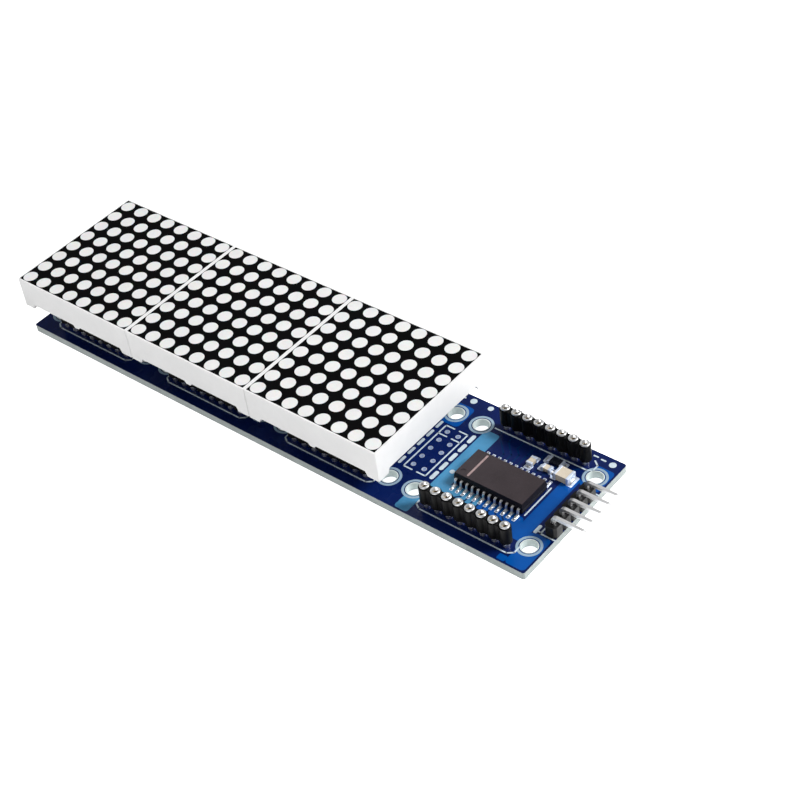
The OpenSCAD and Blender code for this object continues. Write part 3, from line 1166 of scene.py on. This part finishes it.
class MATRIX_OT_chip_mark(Operator):
    """Adds the plain pale bar across each chip near its first pin"""

    bl_idname = "matrix.chip_mark"
    bl_label = "Chip mark"

    def execute(self, context):
        x = CHIP_LOW.x + 2.75 * MM
        reach = 2.9 * MM
        bar = printed_bar((x, CHIP_Y - reach), (x, CHIP_Y + reach), 0.42 * MM, CHIP_HIGH.z)
        on_every_section(sheet("chip_mark", [bar], sizes().ink / 2), faded_mark)
        return {"FINISHED"}


class MATRIX_OT_part_ends(Operator):
    """Adds the tinned end caps of the small parts, with their pads and solder"""

    bl_idname = "matrix.part_ends"
    bl_label = "Ends of the small parts"

    def execute(self, context):
        skin, edge = 0.03 * MM, 0.08 * MM
        beyond, pad_length, pad_margin = 0.15 * MM, 1.3 * MM, 0.3 * MM
        bead_length, bead_share = 0.8 * MM, 0.45
        caps, pads, beads = [], [], []
        for x, y, length, width, height, across in SMALL_PARTS:
            length, width, height = length * MM, width * MM, height * MM
            for side in (-1, 1):
                cap = side * (length - END_CAP) / 2
                end = side * (length / 2 + beyond)
                box = (END_CAP + skin, width + 2 * skin, height + skin, edge)
                bead = (bead_length, width, height * bead_share)
                caps.append(self.put(rounded_block, x, y, cap, across, *box))
                pads.append(self.put(flat_pad, x, y, end, across, pad_length, width + pad_margin))
                beads.append(self.put(solder_bead, x, y, end, across, *bead))
        on_every_section(joined("part_ends", caps), pad_tin)
        on_every_section(sheet("part_pads", pads, sizes().tin), pad_tin)
        on_every_section(joined("part_solder", beads), solder)
        return {"FINISHED"}

    def put(self, shape, x, y, offset, across, length, width, *rest):
        """Makes a shape at one end of a part that lies along the board or across it."""
        x, y = section_x(1) + x * MM, y * MM
        if across:
            return shape(x, y + offset, BOARD_TOP, width, length, *rest)
        return shape(x + offset, y, BOARD_TOP, length, width, *rest)


# ---------- stage ----------

LENS = 77.25  # millimetres, as is the sensor's width
SENSOR = 36
CAMERA_PLACE = (0.19053, -0.16738, 0.2202)
CAMERA_RIGHT = (0.77033, 0.62822, -0.10926)
CAMERA_UP = (-0.35928, 0.56918, 0.73957)
CAMERA_BACK = (0.52680, -0.53046, 0.66416)
FLOOR_SIDE = 6
LAMPS = (  # name, place, width in metres, power in watts
    ("key_light", (0.6, 0.48, 0.68), 0.35, 10.8),
    ("fill_light", (0.35, -0.9, 0.3), 0.6, 2.2),
)
SKY_TOWARDS = (0.2, 0.45, 0.87)


class MATRIX_OT_stage(Operator):
    """Adds the camera, the pale floor and the soft lights"""

    bl_idname = "matrix.stage"
    bl_label = "Stage"

    def execute(self, context):
        self.camera(context)
        self.floor()
        self.lights(context)
        context.scene.view_settings.view_transform = "Standard"
        return {"FINISHED"}

    def camera(self, context):
        """Camera in front of the board's open end, turned a little clockwise."""
        start_fresh()
        bpy.ops.object.camera_add()
        camera = context.object
        camera.name = "camera"
        camera.data.lens = LENS
        camera.data.sensor_width = SENSOR
        camera.data.clip_start = 0.01
        camera.data.clip_end = 20
        turn = Matrix((CAMERA_RIGHT, CAMERA_UP, CAMERA_BACK)).transposed().to_4x4()
        camera.matrix_world = Matrix.Translation(CAMERA_PLACE) @ turn
        context.scene.camera = camera

    def floor(self):
        start_fresh()
        bpy.ops.mesh.primitive_plane_add(size=FLOOR_SIDE, location=(0, 0, FLOOR_Z))
        floor = bpy.context.object
        floor.name = "studio_floor"
        floor.data.materials.append(finished(studio_floor))

    def lights(self, context):
        for name, place, size, power in LAMPS:
            start_fresh()
            bpy.ops.object.light_add(type="AREA", location=place)
            lamp = context.object
            lamp.name = name
            lamp.data.shape = "DISK"
            lamp.data.size = size
            lamp.data.energy = power
            lamp.rotation_euler = (-Vector(place)).to_track_quat("-Z", "Y").to_euler()
        self.sky(context)

    def sky(self, context):
        """Light from high behind that fades towards the front, and plain white for the camera."""
        world = bpy.data.worlds.new("Studio")
        world.use_nodes = True
        context.scene.world = world
        tree = world.node_tree
        sky = fill(tree.nodes["Background"], Color=(1, 1, 1, 1))
        place = tree.nodes.new("ShaderNodeTexCoord")
        towards = tree.nodes.new("ShaderNodeVectorMath")
        towards.operation = "DOT_PRODUCT"
        towards.inputs[1].default_value = SKY_TOWARDS
        fade = tree.nodes.new("ShaderNodeMapRange")
        fade.interpolation_type = "SMOOTHSTEP"
        fill(fade, From_Min=0.35, From_Max=0.95, To_Min=0.12, To_Max=0.75)
        path = tree.nodes.new("ShaderNodeLightPath")
        choose = fill(tree.nodes.new("ShaderNodeMix"), B=1.0)
        wire(tree, place, "Generated", towards, 0)
        wire(tree, towards, "Value", fade, "Value")
        wire(tree, path, "Is Camera Ray", choose, "Factor")
        wire(tree, fade, "Result", choose, "A")
        wire(tree, choose, "Result", sky, "Strength")


OPERATORS = (
    MATRIX_OT_stage,
    MATRIX_OT_finish_frame,
    MATRIX_OT_copper_pours,
    MATRIX_OT_tracks,
    MATRIX_OT_hole_rings,
    MATRIX_OT_link_print,
    MATRIX_OT_section_print,
    MATRIX_OT_header_print,
    MATRIX_OT_through_pads,
    MATRIX_OT_chip_pads,
    MATRIX_OT_chip_mark,
    MATRIX_OT_part_ends,
)


class MATRIX_PT_panel(Panel):
    """Lists the module's operators and settings"""

    bl_label = "Dot matrix"
    bl_idname = "MATRIX_PT_panel"
    bl_space_type = "VIEW_3D"
    bl_region_type = "UI"
    bl_category = "Dot matrix"

    def draw(self, context):
        for operator in OPERATORS:
            self.layout.operator(operator.bl_idname)
        for settings in (context.scene.matrix_sizes, context.scene.matrix_colours):
            box = self.layout.box()
            for key in settings.__annotations__:
                box.prop(settings, key)


CLASSES = (MatrixPrintSizes, MatrixColours, *OPERATORS, MATRIX_PT_panel)


def register():
    for item in CLASSES:
        bpy.utils.register_class(item)
    bpy.types.Scene.matrix_sizes = PointerProperty(type=MatrixPrintSizes)
    bpy.types.Scene.matrix_colours = PointerProperty(type=MatrixColours)


def unregister():
    del bpy.types.Scene.matrix_colours
    del bpy.types.Scene.matrix_sizes
    for item in reversed(CLASSES):
        bpy.utils.unregister_class(item)


def main():
    register()
    for operator in OPERATORS:
        group, name = operator.bl_idname.split(".")
        getattr(getattr(bpy.ops, group), name)()


if __name__ == "__main__":
    main()
